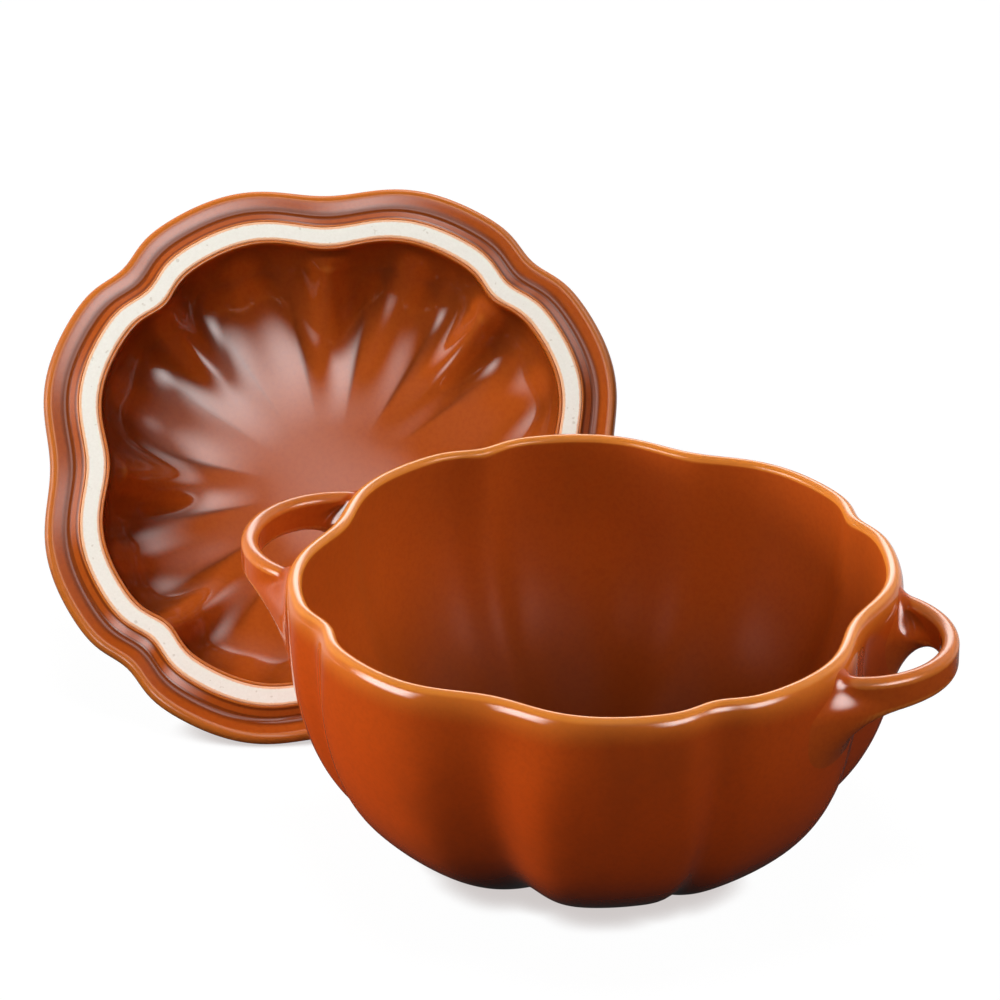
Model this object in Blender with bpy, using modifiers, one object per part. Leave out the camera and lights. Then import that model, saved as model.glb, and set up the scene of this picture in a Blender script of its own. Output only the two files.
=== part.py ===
"""Pumpkin cocotte in glazed stoneware: a lobed pot with two loop handles, and its lid leaning behind it.

Metres, +Z up. The origin is the middle of the pot's flat foot, and the handles lie on X.
"""

import math

import bmesh
import bpy
from mathutils import Matrix, Vector
from mathutils.bvhtree import BVHTree

MM = 0.001
TURN = 2 * math.pi

# Gap that is left between neighbouring pieces.
GAP = 0.3 * MM

# Lobes: deep valleys every quarter turn, the handles' side included, with a shallow one between each two.
DEEP_VALLEY = 5.6 * MM
SHALLOW_VALLEY = 2.6 * MM
DEEP_WIDTH = math.radians(13.2)
SHALLOW_WIDTH = math.radians(5.8)
VALLEY_PITCH = math.radians(90)
# Valleys are cut deeper towards the foot, by this much of their depth at the rim.
FOOT_GAIN = 0.25
SEGMENTS = 80

# Pot. The rim's radius is taken over the lobes' crests.
RIM_RADIUS = 75.0 * MM
POT_HEIGHT = 74.0 * MM
WALL = 4.2 * MM
FLOOR = 6.0 * MM
FOOT_RADIUS = 32.0 * MM
FOOT_SLOPE = math.radians(22)
FOOT_SWEEP = 29.0 * MM
WALL_SWEEP = 46.0 * MM
BELLY = 1.0 * MM
INNER_FLOOR_EASE = 9.0 * MM

# Loop handles: a strap bent on an ellipse, with its underside running down into the wall.
HANDLE_REACH = 16.3 * MM
HANDLE_ROOT_DEPTH = 8.8 * MM
HANDLE_HALF_SPREAD = 22.3 * MM
HANDLE_DROP = 7.8 * MM
STRAP_THICKNESS = 4.2 * MM
STRAP_HEIGHT = 8.8 * MM
GUSSET = 1.5
HANDLE_SEGMENTS = 24

# Lid, in its own frame: the seat is at z = 0 and the dome stands up from it.
LID_OVERHANG = 3.2 * MM
BEAD_RADIUS = 2.0 * MM
BEAD_RISE = 1.2 * MM
COVE_DEPTH = 0.9 * MM
RING_CLEARANCE = 2.1 * MM
RING_WIDTH = 5.2 * MM
RING_DRAFT = 2.6 * MM
RING_PROUD = 1.9 * MM
RING_BEDDING = 1.6 * MM
DOME_HEIGHT = 31.0 * MM
DOME_CROWN = 1.5 * MM
DOME_TOP_SWEEP = 25.0 * MM
DOME_EDGE_SLOPE = math.radians(41)
DOME_EDGE_SWEEP = 24.0 * MM
DOME_WALL = 5.5 * MM
HOLLOW_WALL_SWEEP = 11.0 * MM
HOLLOW_TOP_SWEEP = 38.0 * MM
RIB_DROP = 0.9

# Stem: a ribbed knob, waisted and a little bent.
STEM_BASE_RADIUS = 13.0 * MM
STEM_WAIST_RADIUS = 8.2 * MM
STEM_TIP_RADIUS = 9.2 * MM
STEM_HEIGHT = 32.8 * MM
STEM_EDGE = 2.2 * MM
STEM_BEND = 8.0 * MM
STEM_RIBS = 5
STEM_RIB_DEPTH = 1.1 * MM
STEM_SEGMENTS = 40

# Where the lid leans: this close to the pot on this bearing, with its underside facing this way.
LID_CLEARANCE = 0.8 * MM
LID_BEARING = math.radians(147.0)
LID_FACING = math.radians(-65.6)

GLAZE = (0.42, 0.10, 0.02, 1.0)
BARE_CLAY = (0.86, 0.84, 0.76, 1.0)


def clear_scene():
    for obj in list(bpy.data.objects):
        bpy.data.objects.remove(obj, do_unlink=True)


def collection(name):
    made = bpy.data.collections.new(name)
    bpy.context.scene.collection.children.link(made)
    return made


def finish(name, colour, roughness, coat):
    material = bpy.data.materials.new(name)
    material.use_nodes = True
    shader = material.node_tree.nodes["Principled BSDF"]
    shader.inputs["Base Color"].default_value = colour
    shader.inputs["Roughness"].default_value = roughness
    shader.inputs["Metallic"].default_value = 0.0
    shader.inputs["Coat Weight"].default_value = coat
    return material


def bezier(start, start_handle, end_handle, end, count):
    """Points along a cubic curve, ends included."""
    points = []
    for i in range(count):
        t = i / (count - 1)
        s = 1 - t
        weights = (s**3, 3 * s * s * t, 3 * s * t * t, t**3)
        corners = (start, start_handle, end_handle, end)
        points.append(sum((Vector(c) * w for c, w in zip(corners, weights)), Vector((0, 0))))
    return points


def arc(centre, radius, first, last, count):
    """Points on a circle between two angles in degrees, ends included."""
    angles = (math.radians(first + (last - first) * i / (count - 1)) for i in range(count))
    return [Vector((centre[0] + radius * math.cos(a), centre[1] + radius * math.sin(a))) for a in angles]


def offset(points, first, last):
    """An open line moved to its left, by one distance at its first point that passes into another at its last."""
    moved = []
    end = len(points) - 1
    for i, point in enumerate(points):
        along = points[min(i + 1, end)] - points[max(i - 1, 0)]
        along.normalize()
        distance = first + (last - first) * i / end
        moved.append(point + distance * Vector((-along.y, along.x)))
    return moved


def valley(angle, width):
    """1 in the middle of a valley and 0 on the crests; one valley a quarter turn."""
    away = (angle + VALLEY_PITCH / 2) % VALLEY_PITCH - VALLEY_PITCH / 2
    return math.exp(-((away / width) ** 2))


def flute(angle):
    """How far the lobes' outline lies inside its crests."""
    deep = DEEP_VALLEY * valley(angle, DEEP_WIDTH)
    return deep + SHALLOW_VALLEY * valley(angle - VALLEY_PITCH / 2, SHALLOW_WIDTH)


def smooth(value):
    value = min(max(value, 0.0), 1.0)
    return value * value * (3 - 2 * value)


def turned(name, profile, segments, closed=False):
    """An (r, z) line turned about Z with a Screw modifier, as a plain mesh."""
    mesh = bpy.data.meshes.new(name)
    edges = [(i, i + 1) for i in range(len(profile) - 1)]
    if closed:
        edges.append((len(profile) - 1, 0))
    mesh.from_pydata([(p[0], 0, p[1]) for p in profile], edges, [])
    line = bpy.data.objects.new(name + "_line", mesh)
    bpy.context.scene.collection.objects.link(line)
    screw = line.modifiers.new("turn", "SCREW")
    screw.axis = "Z"
    screw.steps = segments
    screw.render_steps = segments
    screw.use_merge_vertices = True
    screw.merge_threshold = 0.00001
    graph = bpy.context.evaluated_depsgraph_get()
    solid = bpy.data.meshes.new_from_object(line.evaluated_get(graph))
    solid.name = name
    bpy.data.objects.remove(line)
    bpy.data.meshes.remove(mesh)
    return solid


def move_points(mesh, change):
    """Moves every point by change(radius, angle, height), which gives the radial and the upward shift."""
    for vertex in mesh.vertices:
        x, y, z = vertex.co
        radius = math.hypot(x, y)
        angle = math.atan2(y, x)
        out, up = change(radius, angle, z)
        radius += out
        vertex.co = (radius * math.cos(angle), radius * math.sin(angle), z + up)
    return mesh


def placed(name, mesh, material, parts):
    mesh.materials.clear()
    mesh.materials.append(material)
    mesh.shade_smooth()
    mesh.set_sharp_from_angle(angle=math.radians(40))
    obj = bpy.data.objects.new(name, mesh)
    parts.objects.link(obj)
    return obj


def pot_wall(count):
    """The crest line of the outer wall, from the foot's edge up to the rim."""
    foot = Vector((FOOT_RADIUS, 0))
    sweep = FOOT_SWEEP * Vector((math.cos(FOOT_SLOPE), math.sin(FOOT_SLOPE)))
    lip = Vector((RIM_RADIUS, POT_HEIGHT - WALL / 2))
    return bezier(foot, foot + sweep, lip + Vector((BELLY, -WALL_SWEEP)), lip, count)


def pot_flutes(radius, angle, height):
    """The pot's valleys: full on the wall, deeper towards the foot, and gone at the middle of the floor."""
    depth = 1 + FOOT_GAIN * (1 - height / POT_HEIGHT)
    return -flute(angle) * depth * smooth(radius / FOOT_RADIUS), 0.0


def pot_bowl(glaze, parts):
    outer = pot_wall(11)
    inner = offset(outer, FLOOR, WALL)
    inner.reverse()
    lip = arc((RIM_RADIUS - WALL / 2, POT_HEIGHT - WALL / 2), WALL / 2, 0, 180, 7)[1:-1]
    floor = inner[-1].y
    ease = Vector((inner[-1].x - INNER_FLOOR_EASE, floor))
    line = outer + lip + inner + [ease, Vector((0, floor))]
    # From the middle of the inner floor up and over the rim, then down to the middle of the foot.
    line.reverse()
    line.append(Vector((0, 0)))
    return placed("pot_bowl", move_points(turned("pot_bowl", line, SEGMENTS), pot_flutes), glaze, parts)


def wall_cutter(cutters):
    """The space that the bowl fills, one gap larger, which the handles are trimmed to."""
    line = offset(pot_wall(11), -GAP, -GAP)
    line[0].y = -GAP
    top = Vector((line[-1].x, POT_HEIGHT + GAP))
    line = [Vector((0, top.y)), top] + line[::-1] + [Vector((0, -GAP))]
    mesh = move_points(turned("wall_cutter", line, SEGMENTS), pot_flutes)
    obj = bpy.data.objects.new("wall_cutter", mesh)
    cutters.objects.link(obj)
    obj.hide_render = True
    obj.display_type = "WIRE"
    return obj


def handle(name, side, glaze, parts, cutter):
    root = RIM_RADIUS - HANDLE_ROOT_DEPTH
    tip = RIM_RADIUS + HANDLE_REACH - STRAP_THICKNESS / 2
    level = POT_HEIGHT - HANDLE_DROP
    curve = bpy.data.curves.new(name, "CURVE")
    curve.dimensions = "3D"
    curve.twist_mode = "Z_UP"
    curve.extrude = (STRAP_HEIGHT - STRAP_THICKNESS) / 2
    curve.bevel_depth = STRAP_THICKNESS / 2
    curve.bevel_resolution = 2
    curve.use_fill_caps = True
    spline = curve.splines.new("POLY")
    spline.points.add(HANDLE_SEGMENTS)
    for i, point in enumerate(spline.points):
        angle = math.pi * (i / HANDLE_SEGMENTS - 0.5)
        x = root + (tip - root) * math.cos(angle)
        point.co = (side * x, side * HANDLE_HALF_SPREAD * math.sin(angle), level, 1)
    strap = bpy.data.objects.new(name + "_strap", curve)
    parts.objects.link(strap)
    graph = bpy.context.evaluated_depsgraph_get()
    mesh = bpy.data.meshes.new_from_object(strap.evaluated_get(graph))
    bpy.data.objects.remove(strap)
    shape = bmesh.new()
    shape.from_mesh(mesh)
    bmesh.ops.remove_doubles(shape, verts=shape.verts, dist=0.00001)
    bmesh.ops.recalc_face_normals(shape, faces=shape.faces)
    # The underside runs down into the wall like a bracket.
    for vertex in shape.verts:
        below = level - vertex.co.z
        if below > 0:
            inward = min(max((tip - abs(vertex.co.x)) / (tip - root), 0.0), 1.0)
            vertex.co.z = level - below * (1 + GUSSET * inward**2)
    shape.to_mesh(mesh)
    shape.free()
    obj = placed(name, mesh, glaze, parts)
    trim = obj.modifiers.new("trim", "BOOLEAN")
    trim.operation = "DIFFERENCE"
    trim.object = cutter
    return obj


def lid_flutes(radius, angle, height):
    """The lid's valleys: full at the flange, and ribs under the dome that die away at the stem."""
    ring_inside = lid_ring_outside() - RING_WIDTH
    outward = smooth(radius / ring_inside)
    drop = RIB_DROP * math.sin(math.pi * min(radius / ring_inside, 1.0))
    return -flute(angle) * outward, -flute(angle) * drop


def lid_ring_outside():
    return RIM_RADIUS - WALL - RING_CLEARANCE


def lid_shell():
    bead = Vector((RIM_RADIUS + LID_OVERHANG - BEAD_RADIUS, BEAD_RISE))
    edge = bead + Vector((0, BEAD_RADIUS))
    crown = Vector((STEM_BASE_RADIUS, DOME_HEIGHT))
    dome = bezier(
        crown,
        crown + Vector((DOME_TOP_SWEEP, DOME_CROWN)),
        edge + DOME_EDGE_SWEEP * Vector((-math.cos(DOME_EDGE_SLOPE), math.sin(DOME_EDGE_SLOPE))),
        edge,
        10,
    )
    rim = arc(bead, BEAD_RADIUS, 90, -90, 6)[1:]
    cove_end = Vector((lid_ring_outside() + RING_DRAFT + GAP, rim[-1].y + COVE_DEPTH / 2))
    cove_middle = (rim[-1] + cove_end) / 2 + Vector((0, COVE_DEPTH))
    bedding = RING_BEDDING + GAP
    hollow_edge = Vector((lid_ring_outside() - RING_WIDTH, bedding))
    hollow = bezier(
        hollow_edge,
        hollow_edge + Vector((0, HOLLOW_WALL_SWEEP)),
        Vector((HOLLOW_TOP_SWEEP, DOME_HEIGHT - DOME_WALL)),
        Vector((0, DOME_HEIGHT - DOME_WALL)),
        9,
    )
    line = [Vector((0, DOME_HEIGHT))] + dome + rim + [cove_middle, cove_end]
    line += [Vector((cove_end.x, bedding))] + hollow
    return move_points(turned("lid_shell", line, SEGMENTS), lid_flutes)


def lid_seat_ring():
    outside = lid_ring_outside()
    inside = outside - RING_WIDTH
    line = [
        Vector((inside, RING_BEDDING)),
        Vector((outside + RING_DRAFT, RING_BEDDING)),
        Vector((outside + RING_DRAFT, 0)),
        Vector((outside, -RING_PROUD)),
        Vector((inside, -RING_PROUD)),
    ]
    return move_points(turned("lid_seat_ring", line, SEGMENTS, closed=True), lid_flutes)


def stem_shape(radius, angle, height):
    """Ribs round the stem, none on its flat base."""
    up = smooth((height - DOME_HEIGHT) / STEM_HEIGHT * 4)
    rib = 0.5 - 0.5 * math.cos(STEM_RIBS * angle)
    return -STEM_RIB_DEPTH * rib * up * smooth(radius / STEM_WAIST_RADIUS), 0.0


def lid_stem():
    base = DOME_HEIGHT + GAP
    top = DOME_HEIGHT + STEM_HEIGHT
    edge = Vector((STEM_TIP_RADIUS - STEM_EDGE, top - STEM_EDGE))
    tip = arc(edge, STEM_EDGE, 90, 0, 4)
    side = bezier(
        tip[-1],
        Vector((STEM_WAIST_RADIUS, top - STEM_HEIGHT / 2)),
        Vector((STEM_WAIST_RADIUS, base + STEM_HEIGHT / 4)),
        Vector((STEM_BASE_RADIUS, base)),
        8,
    )
    line = [Vector((0, top))] + tip + side[1:] + [Vector((0, base))]
    mesh = move_points(turned("lid_stem", line, STEM_SEGMENTS), stem_shape)
    for vertex in mesh.vertices:
        vertex.co.y -= STEM_BEND * ((vertex.co.z - base) / STEM_HEIGHT) ** 2
    return mesh


def lowest(mesh, lean):
    """The lowest level of a lid piece, tipped back until its underside looks up by the lean."""
    return min(v.co.y * math.cos(lean) - v.co.z * math.sin(lean) for v in mesh.vertices)


def lean_of(shell, stem):
    """The lean at which the flange and the tip of the stem stand on the same level."""
    low, high = math.radians(10), math.radians(80)
    for _ in range(50):
        lean = (low + high) / 2
        if lowest(stem, lean) > lowest(shell, lean):
            low = lean
        else:
            high = lean
    return lean


def leaning_distance(bowl, leaning, heading):
    """How far along a heading the leaning points stand from the origin, brought up from afar to the bowl."""
    surface = BVHTree.FromPolygons([v.co for v in bowl.vertices], [f.vertices for f in bowl.polygons])
    far = 2 * (RIM_RADIUS + LID_OVERHANG)

    def too_near(distance):
        return any(surface.find_nearest(p + distance * heading, LID_CLEARANCE)[0] for p in leaning)

    near = far
    while not too_near(near):
        far = near
        near -= LID_CLEARANCE
    for _ in range(12):
        middle = (near + far) / 2
        if too_near(middle):
            near = middle
        else:
            far = middle
    return far


def lid_place(shell, stem, bowl):
    """The lid's frame in the room, standing on its flange and on the tip of its stem, close behind the bowl."""
    lean = lean_of(shell, stem)
    facing = Vector((math.cos(LID_FACING), math.sin(LID_FACING), 0))
    up = Vector((0, 0, 1))
    underside = math.cos(lean) * facing + math.sin(lean) * up
    slope = math.cos(lean) * up - math.sin(lean) * facing
    across = slope.cross(-underside)
    turn = Matrix((across, slope, -underside)).transposed().to_4x4()
    raised = Matrix.Translation(Vector((0, 0, -lowest(shell, lean)))) @ turn
    heading = Vector((math.cos(LID_BEARING), math.sin(LID_BEARING), 0))
    distance = leaning_distance(bowl, [raised @ v.co for v in shell.vertices], heading)
    return Matrix.Translation(distance * heading) @ raised


def lid(glaze, bare, bowl, parts):
    shell, ring, stem = lid_shell(), lid_seat_ring(), lid_stem()
    place = bpy.data.objects.new("lid_place", None)
    parts.objects.link(place)
    place.matrix_world = lid_place(shell, stem, bowl)
    for name, mesh, material in (
        ("lid_shell", shell, glaze),
        ("lid_seat_ring", ring, bare),
        ("lid_stem", stem, glaze),
    ):
        placed(name, mesh, material, parts).parent = place


def main():
    clear_scene()
    parts = collection("pumpkin_cocotte")
    cutters = collection("cutters")
    glaze = finish("cinnamon_glaze", GLAZE, 0.12, 1.0)
    bare = finish("bare_stoneware", BARE_CLAY, 0.75, 0.0)
    bowl = pot_bowl(glaze, parts)
    cutter = wall_cutter(cutters)
    handle("handle_right", 1, glaze, parts, cutter)
    handle("handle_left", -1, glaze, parts, cutter)
    lid(glaze, bare, bowl.data, parts)


main()
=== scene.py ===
"""Pumpkin cocotte in cinnamon glaze: the finished pot and its leaning lid, on a pale studio floor.

Metres, +Z up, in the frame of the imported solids. The origin is the middle of the pot's foot.
"""

import math
from typing import NamedTuple

import bmesh
import bpy
import numpy as np
from mathutils import Matrix, Vector


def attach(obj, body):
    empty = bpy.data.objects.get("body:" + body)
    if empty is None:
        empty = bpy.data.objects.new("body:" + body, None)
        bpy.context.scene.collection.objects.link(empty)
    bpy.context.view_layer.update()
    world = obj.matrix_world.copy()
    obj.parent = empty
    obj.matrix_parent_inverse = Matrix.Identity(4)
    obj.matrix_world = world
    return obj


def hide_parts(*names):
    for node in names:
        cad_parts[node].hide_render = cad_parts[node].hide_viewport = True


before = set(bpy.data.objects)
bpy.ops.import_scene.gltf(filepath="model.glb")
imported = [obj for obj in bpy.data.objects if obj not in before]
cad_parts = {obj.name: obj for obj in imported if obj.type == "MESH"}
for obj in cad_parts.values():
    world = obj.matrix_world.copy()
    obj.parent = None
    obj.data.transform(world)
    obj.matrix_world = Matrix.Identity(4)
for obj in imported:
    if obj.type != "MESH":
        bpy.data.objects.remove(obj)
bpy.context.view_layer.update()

MM = 0.001
TURN = 2 * math.pi
UP = Vector((0, 0, 1))

# Lobes: deep valleys every quarter turn with a shallow one between each two. They are cut deeper towards the
# foot, and get narrower on the outside, below the lip.
QUARTER = TURN / 4
DEEP_VALLEY = 5.6 * MM
SHALLOW_VALLEY = 2.6 * MM
DEEP_WIDTH = math.radians(13.2)
SHALLOW_WIDTH = math.radians(5.8)
FOOT_GAIN = 0.25
NARROWING = 0.32
NARROW_OVER = 25.0 * MM
AROUND = 288
WELD = 0.001 * MM

# Pot.
RIM_RADIUS = 75.0 * MM
POT_HEIGHT = 74.0 * MM
WALL = 4.2 * MM
FLOOR = 6.0 * MM
FOOT_RADIUS = 32.0 * MM
FOOT_SLOPE = math.radians(22)
FOOT_SWEEP = 29.0 * MM
WALL_SWEEP = 46.0 * MM
BELLY = 1.0 * MM
INNER_FLOOR_EASE = 9.0 * MM
LIP_ROLL = 5.5 * MM
LIP_INNER_EDGE = 1.4 * MM
LIP_TOP_SWEEP = 1.9 * MM
LIP_SIDE_SWEEP = 3.2 * MM
LIP_JOIN = 0.5 * MM

# Loop handles, blended into the wall.
HANDLE_REACH = 16.3 * MM
HANDLE_ROOT_DEPTH = 8.8 * MM
HANDLE_HALF_SPREAD = 22.3 * MM
HANDLE_DROP = 7.8 * MM
STRAP_THICKNESS = 4.2 * MM
STRAP_HEIGHT = 8.8 * MM
STRAP_POINTS = 181
GUSSET = 1.5
BLEND_ABOVE = 3.5 * MM
BLEND_BELOW = 13.0 * MM
BURIED = 0.35 * MM
FREE_OF_WALL = 2.5 * MM

# The room that is searched for a handle's skin, its cells, and the step that the field's slope is taken over.
ROOM_INWARDS = 16.0 * MM
ROOM_OUTWARDS = 2.0 * MM
ROOM_SIDEWAYS = 40.0 * MM
ROOM_DOWN = 40.0 * MM
SKIN_STEP = 0.5 * MM
SLOPE_STEP = 0.02 * MM

# Lid, in its own frame: the seat is at z = 0 and the dome stands up from it.
LID_OVERHANG = 3.2 * MM
BEAD_RADIUS = 2.0 * MM
BEAD_RISE = 1.2 * MM
COVE_DEPTH = 0.9 * MM
COVE_OUTER_SWEEP = 1.2 * MM
COVE_INNER_SWEEP = 1.0 * MM
RING_CLEARANCE = 2.1 * MM
RING_WIDTH = 5.2 * MM
RING_DRAFT = 2.6 * MM
RING_PROUD = 1.9 * MM
RING_EDGE = 0.45 * MM
RING_BED = 0.6 * MM
RING_PAST_GLAZE = 0.05 * MM
DRAFT_LEFT = 0.25
DOME_HEIGHT = 31.0 * MM
DOME_CROWN = 1.5 * MM
DOME_TOP_SWEEP = 25.0 * MM
DOME_EDGE_SLOPE = math.radians(41)
DOME_EDGE_SWEEP = 24.0 * MM
DOME_WALL = 5.5 * MM
HOLLOW_WALL_SWEEP = 15.0 * MM
HOLLOW_TOP_SWEEP = 44.0 * MM
RIB_DROP = 0.9

# Ribs of the hollow: every other one is minor, and their height varies round the lid.
RIBS_PER_QUARTER = 4
RIB_HEIGHT = 2.1 * MM
RIB_WIDTH = 5.2 * MM
RIB_RISE = 10.0 * MM
RIB_END = 0.25
RIB_FULL = 0.95
MINOR_RIB = 0.6
UNEVEN_RIBS = 0.4
UNEVEN_WAVES = 3
UNEVEN_START = 0.6
NO_RIB = (0, 0, 1)

# Stem.
STEM_BASE_RADIUS = 13.0 * MM
STEM_WAIST_RADIUS = 8.2 * MM
STEM_TIP_RADIUS = 9.2 * MM
STEM_HEIGHT = 32.8 * MM
STEM_EDGE = 2.2 * MM
STEM_BEND = 8.0 * MM
STEM_RIBS = 5
STEM_RIB_DEPTH = 1.1 * MM
STEM_RIB_WIDTH = math.radians(20)
STEM_SKIRT = 4.0 * MM
STEM_AROUND = 120

# Where the lid leans.
LID_LEAN = math.radians(43.59)
LID_FACING = math.radians(-65.6)
LID_SPOT = Vector((-96.38, 62.59, 55.05)) * MM

# Points along the curved parts of the profiles.
WALL_POINTS = 48
CLOSE_WALL_POINTS = 200
LIP_POINTS = 20
CLOSE_LIP_POINTS = 60
EDGE_POINTS = 9
DOME_POINTS = 40
BEAD_POINTS = 17
COVE_POINTS = 12
HOLLOW_POINTS = 48
CHANNEL_EDGE_POINTS = 7
RING_EDGE_POINTS = 5
STEM_POINTS = 28

# Camera, from a fit to the rim, wall and handles in the photograph.
CAMERA_AZIMUTH = math.radians(21.94)
CAMERA_ELEVATION = math.radians(27.55)
CAMERA_DISTANCE = 1363.6 * MM
CAMERA_LENS = 203.5
CAMERA_SENSOR = 36
RIM_OFF_AXIS = (22.8 * MM, -16.8 * MM)

# Colours, linear.
CINNAMON = (0.47, 0.056, 0.004, 1)
RUSSET = (0.32, 0.044, 0.005, 1)
UMBER = (0.05, 0.009, 0.002, 1)
AMBER = (0.86, 0.31, 0.042, 1)
TAN = (0.42, 0.084, 0.009, 1)
CREAM_CLAY = (0.94, 0.92, 0.84, 1)
CLAY_SPECK = (0.62, 0.56, 0.46, 1)
PALE_FLOOR = (0.05, 0.05, 0.05, 1)
UNLIT_FLOOR = (0.35, 0.35, 0.35, 1)
FLOOR_GLOW = (0.985, 0.985, 0.985, 1)
MIRRORED_FLOOR = (0.8, 0.8, 0.8, 1)
MIRRORED_FRONT = (0.024, 0.024, 0.024, 1)
CONTACT_SHADE = (0.62, 0.58, 0.57, 1)
BLACK = (0, 0, 0, 1)
WHITE = (1, 1, 1, 1)

# Glaze: noise as (scale per metre, detail, roughness), and how much each layer shows.
CLOUDS = (26, 3, 0.55)
FINE_FLOW = (190, 2, 0.6)
RUNS = (120, 2, 0.5)
RUN_STRETCH = (1, 1, 0.12)
MOTTLE = (800, 2, 0.6)
RIPPLES = (55, 1, 0.4)
CLOUD_SHARE, RUN_SHARE, FINE_SHARE = 0.7, 0.15, 0.15
RUSSET_TO_CINNAMON = (0.2, 0.6)
MOTTLED = (0.35, 0.75)
MOTTLE_SHARE = 0.3
# Umber in creases: partly pooled glaze, partly painted shade.
POOL_SHADE_SHARE = 0.55
POOL_SHADE_WAVERS = 16
THIN_BEND = (75.0, 220.0)
THIN_CLOUDS, THIN_WAVERS = 60, 30
SATIN = 0.06
HANDLE_SATIN = 0.1
UNEVEN_SATIN = 0.05
THIN_SATIN = 0.06
RIPPLE_FLOW = 0.12
RIPPLE_STRENGTH = 0.12
RIPPLE_HEIGHT = 0.4 * MM
GLAZE_IOR = 1.5

# The pot's layers by height: glaze tan under the lip and amber on it; umber in the bottom and round the foot
# is painted shade.
TAN_FROM = 44 * MM
TAN_SHARE = 0.35
TAN_WAVERS = 20 * MM
LIP_BAND = 8.0 * MM
LIP_BAND_SHARE = 0.3
LIP_WAVERS = 5 * MM
# Painted shade: the heights over which the inside darkens to umber towards its floor.
PAINTED_INSIDE_SHADE = (4 * MM, 50 * MM)
PAINTED_INSIDE_SHADE_SHARE = 0.8
# Painted shade: the heights over which the outside darkens to umber towards the foot.
PAINTED_FOOT_SHADE = (4 * MM, 28 * MM)
PAINTED_FOOT_SHADE_SHARE = 0.95
PAINTED_FOOT_SHADE_WAVERS = 2 * MM
BARE_BELOW = (0.5 * MM, 1.0 * MM)
BARE_WAVERS = 0.8 * MM
BARE_ROUGHNESS = 0.8
DULL_ROUGHNESS = 0.4
DULL_SPECULAR = 0.04

# Bare clay.
GRAIN = (1400, 3, 0.6)
SPECKS = (620, 1)
SPECKLED = (0.68, 0.76)
GRAIN_SHARE = 0.35
SPECK_SHARE = 0.6
STAIN_BEND = (120.0, 420.0)
STAIN_WAVERS = 200
STAIN_SHARE = 0.7
CLAY_ROUGHNESS = 0.72
GRAIN_ROUGHNESS = 0.2
GRAIN_STRENGTH = 0.25
GRAIN_HEIGHT = 0.1 * MM

# Light: the world's level for the surfaces, and what of it the glaze mirrors. The white is mirrored only
# behind the pot: from the first of two values, along the view, up to the second.
AMBIENT = 0.14
MIRRORED = 0.03
MIRRORED_BACKDROP = 0.6
BACKDROP_BEHIND = (0.1, 0.6)
FLOOR_BEHIND = (0.03, 0.2)
LIT_SPOT = Vector((-0.03, 0.02, 0.05))
FLOOR_LIGHT = 1.05
FLOOR_SHADE_BLUR = math.radians(16)
FLOOR_HALF = 3.0
FLOOR_ROUGHNESS = 0.9
CONTACT_REACH = 8 * MM
CONTACT_OPEN = (0.2, 0.75)


class Panel(NamedTuple):
    """A soft rectangular lamp that faces the pot.

    It shines on the pot or on the lid, either to light the surface ("wash") or to be mirrored in the glaze
    ("sheen"). The bearing is counted from the camera, over to its right, and both angles are in degrees. The
    feather is the share of each half of the panel over which its light fades out to the edge.
    """

    name: str
    shines_on: str
    job: str
    bearing: float
    elevation: float
    distance: float
    width: float
    height: float
    radiance: float
    feather: float = 0.0


PANELS = (
    Panel("lid_panel", "lid", "sheen", 22, 37, 1.0, 1.1, 1.1, 7.2, 0.9),
    Panel("lid_veil", "lid", "sheen", 40, 40, 1.2, 2.4, 2.0, 1.1, 1.0),
    Panel("lid_overhead", "lid", "sheen", -10, 66, 1.0, 0.5, 0.4, 2.5, 0.8),
    Panel("lid_right_glint", "lid", "sheen", 52, 16, 1.0, 0.7, 0.7, 8.0, 1.0),
    Panel("lid_left_glint", "lid", "sheen", -40, 10, 1.0, 0.5, 0.6, 7.0, 1.0),
    Panel("lid_low_glint", "lid", "sheen", 110, 50, 1.0, 0.8, 0.8, 3.0, 1.0),
    Panel("lid_side", "lid", "sheen", -95, 20, 1.0, 0.8, 1.0, 4.0, 1.0),
    Panel("lid_key", "lid", "wash", -81, 52, 1.3, 0.4, 0.4, 25.0),
    Panel("lid_fill", "lid", "wash", -40, 40, 1.3, 0.6, 0.6, 5.0),
    Panel("left_strip", "pot", "sheen", -66, 18, 1.2, 1.2, 0.8, 15.0, 0.6),
    Panel("right_strip", "pot", "sheen", 45, 24, 1.2, 1.1, 0.7, 13.0, 0.7),
    Panel("back_card", "pot", "sheen", 178, 30, 1.4, 1.8, 0.6, 6.0, 0.8),
    Panel("left_key", "pot", "wash", -97, 5, 1.3, 0.5, 0.3, 35.5),
    Panel("left_wash", "pot", "wash", -80, 10, 1.3, 0.6, 0.4, 9.0),
    Panel("front_wash", "pot", "wash", 15, 42, 1.3, 0.8, 0.6, 3.3),
    Panel("right_fill", "pot", "wash", 72, 10, 1.3, 0.6, 0.4, 1.4),
    Panel("right_wash", "pot", "wash", 105, 36, 1.3, 0.8, 0.6, 6.0),
    Panel("back_wash", "pot", "wash", 178, 25, 1.3, 0.8, 0.6, 5.0),
    Panel("lid_back", "lid", "wash", 172, 30, 1.3, 0.9, 0.7, 10.0),
    Panel("lid_back_sheen", "lid", "sheen", 165, 48, 1.2, 0.8, 0.5, 5.0, 1.0),
    Panel("top_wash", "pot", "wash", 0, 80, 1.3, 0.6, 0.6, 3.2),
)


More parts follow.
